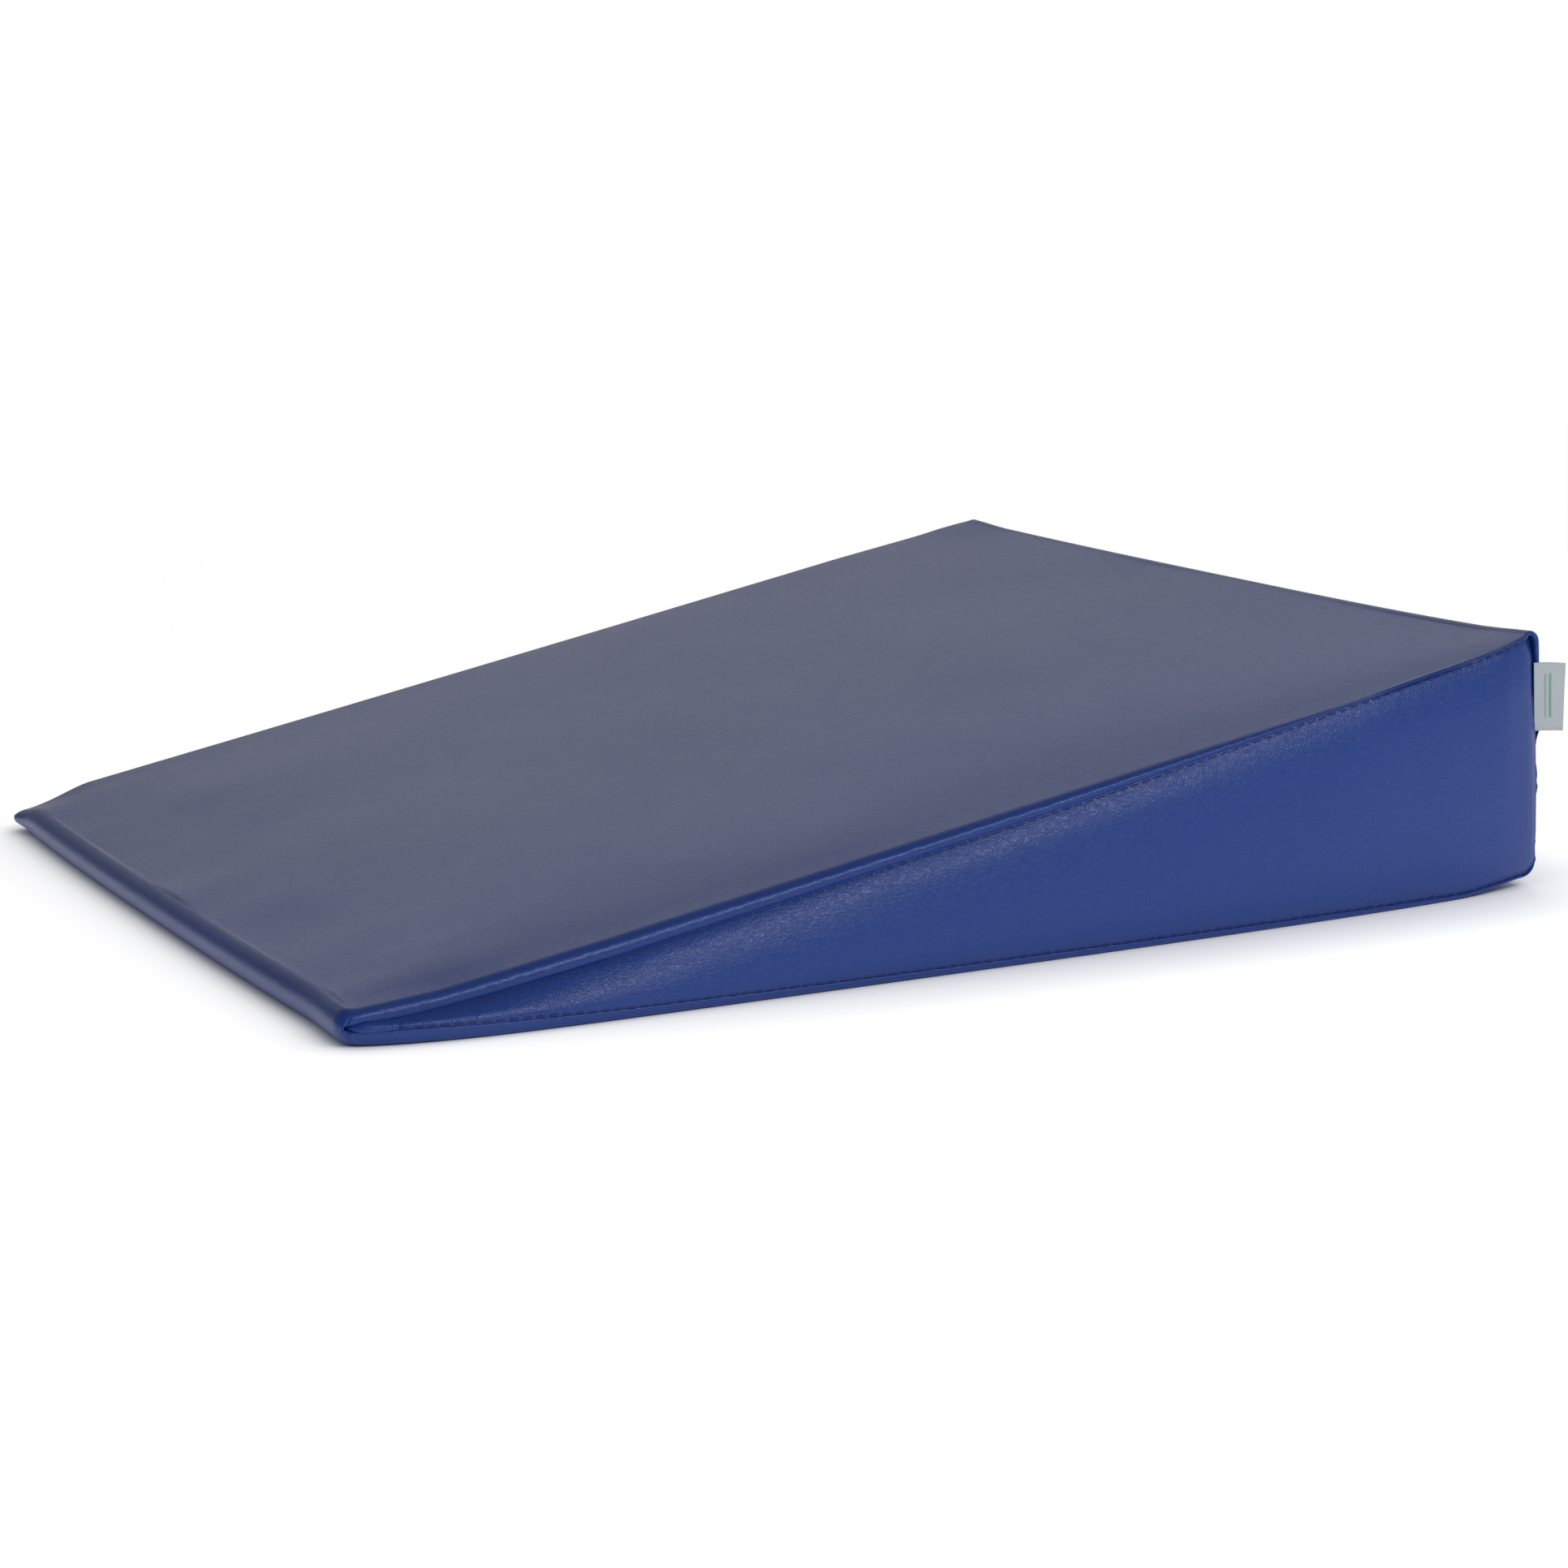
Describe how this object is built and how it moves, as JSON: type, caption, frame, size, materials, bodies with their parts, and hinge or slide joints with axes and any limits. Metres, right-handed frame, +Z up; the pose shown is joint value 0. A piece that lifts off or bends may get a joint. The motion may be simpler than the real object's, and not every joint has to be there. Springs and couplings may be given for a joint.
{
  "type": "positioning wedge cushion",
  "caption": "Low foam wedge cushion in a sewn artificial-leather cover, with a thin nose, a tall back, topstitched side seams and a zip across the back.",
  "frame": {"origin": "middle of the base, on the surface that the cushion lies on", "axes": "+X from the thin nose towards the tall back, +Y across the width away from the label, +Z up"},
  "size_m": [0.5134, 0.5069, 0.1024],
  "materials": {
    "foam": "matte",
    "vinyl": "satin",
    "thread": "satin",
    "zip_tape": "matte",
    "zip_teeth": "satin",
    "zip_metal": "satin",
    "ribbon": "satin"
  },
  "bodies": {
    "cushion": {"foam_core": "foam", "wrap_panel": "vinyl", "side_panel_left": "vinyl", "side_panel_right": "vinyl", "seam_thread_left": "thread", "seam_thread_right": "thread", "zip_tape_upper": "zip_tape", "zip_tape_lower": "zip_tape", "zip_teeth_upper": "zip_teeth", "zip_teeth_lower": "zip_teeth", "zip_thread_upper": "thread", "zip_thread_lower": "thread", "label": "ribbon"},
    "slider": {"zip_slider": "zip_metal"},
    "pull": {"zip_pull": "zip_metal"}
  },
  "joints": [
    {"name": "zip_slide", "type": "slide", "parent": "cushion", "child": "slider", "axis": [0, -1, 0], "range_m": [0, 0.48]},
    {"name": "pull_hinge", "type": "hinge", "parent": "slider", "child": "pull", "pos_m": [0.25485, 0.2435, 0.054], "axis": [0, 0, 1], "range_deg": [0, 180]}
  ]
}
